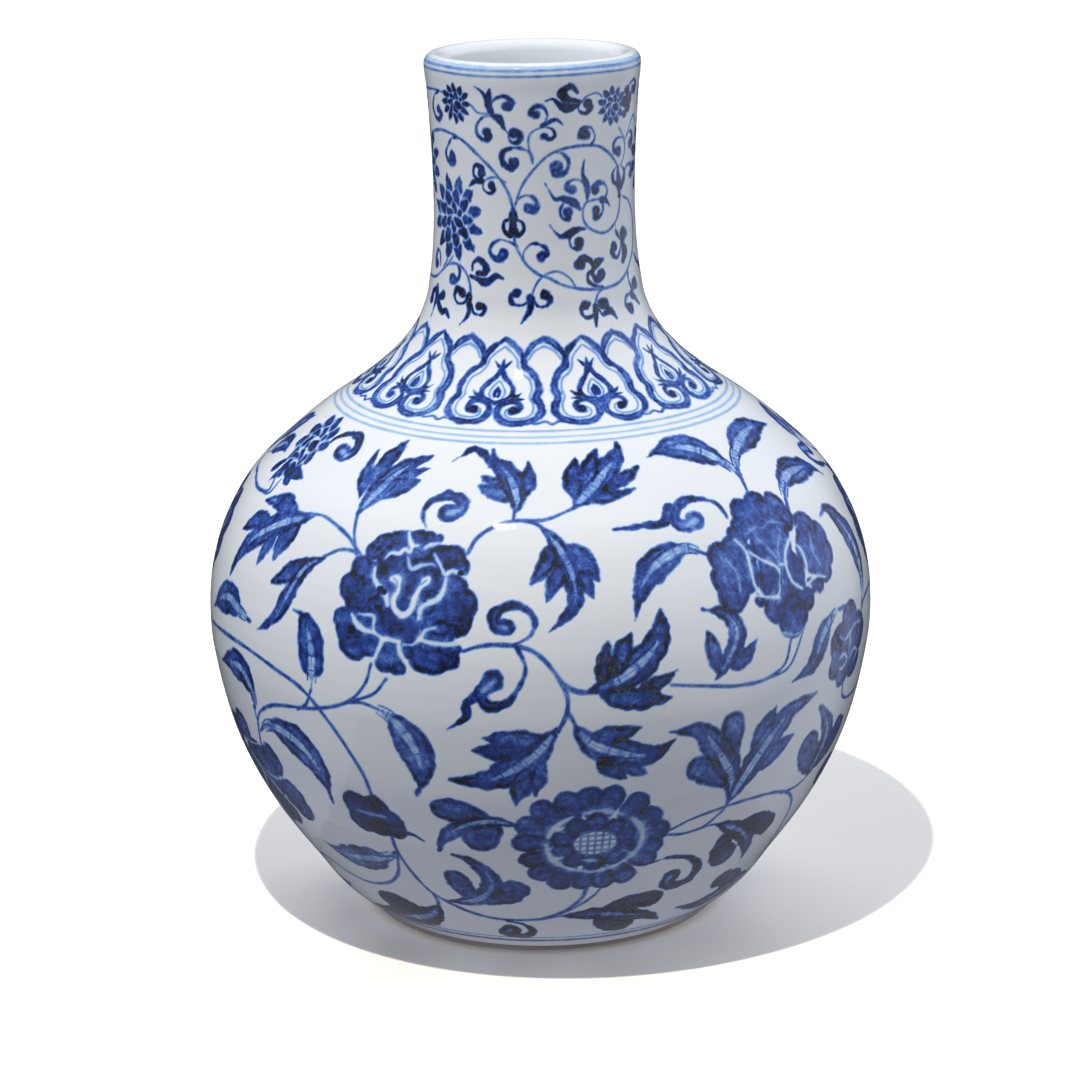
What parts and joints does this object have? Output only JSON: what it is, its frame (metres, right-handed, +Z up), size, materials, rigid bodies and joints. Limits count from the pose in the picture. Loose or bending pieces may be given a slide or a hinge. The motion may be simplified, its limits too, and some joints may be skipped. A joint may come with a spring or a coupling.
{
  "type": "porcelain bottle vase",
  "caption": "Globular bottle vase with a straight neck and a foot ring, thrown in joined sections and covered with blue-and-white painted glaze.",
  "frame": {"origin": "centre of the foot ring, on the surface the vase stands on", "axes": "+Z up along the axis of the wheel-thrown body; -Y towards the side that was pictured"},
  "size_m": [0.324, 0.3238, 0.42],
  "materials": {
    "porcelain": "unglazed fired porcelain, fine matte",
    "luting_slip": "fired slip, matte",
    "painted_glaze": "bluish white gloss over cobalt blue painting",
    "clear_glaze": "bluish white gloss"
  },
  "bodies": {
    "root": {"foot_section": "porcelain", "lower_body_section": "porcelain", "upper_body_section": "porcelain", "shoulder_section": "porcelain", "neck_section": "porcelain", "foot_joint_slip": "luting_slip", "belly_joint_slip": "luting_slip", "shoulder_joint_slip": "luting_slip", "neck_joint_slip": "luting_slip", "outer_glaze": "painted_glaze", "inner_glaze": "clear_glaze", "base_glaze": "clear_glaze"}
  },
  "joints": []
}
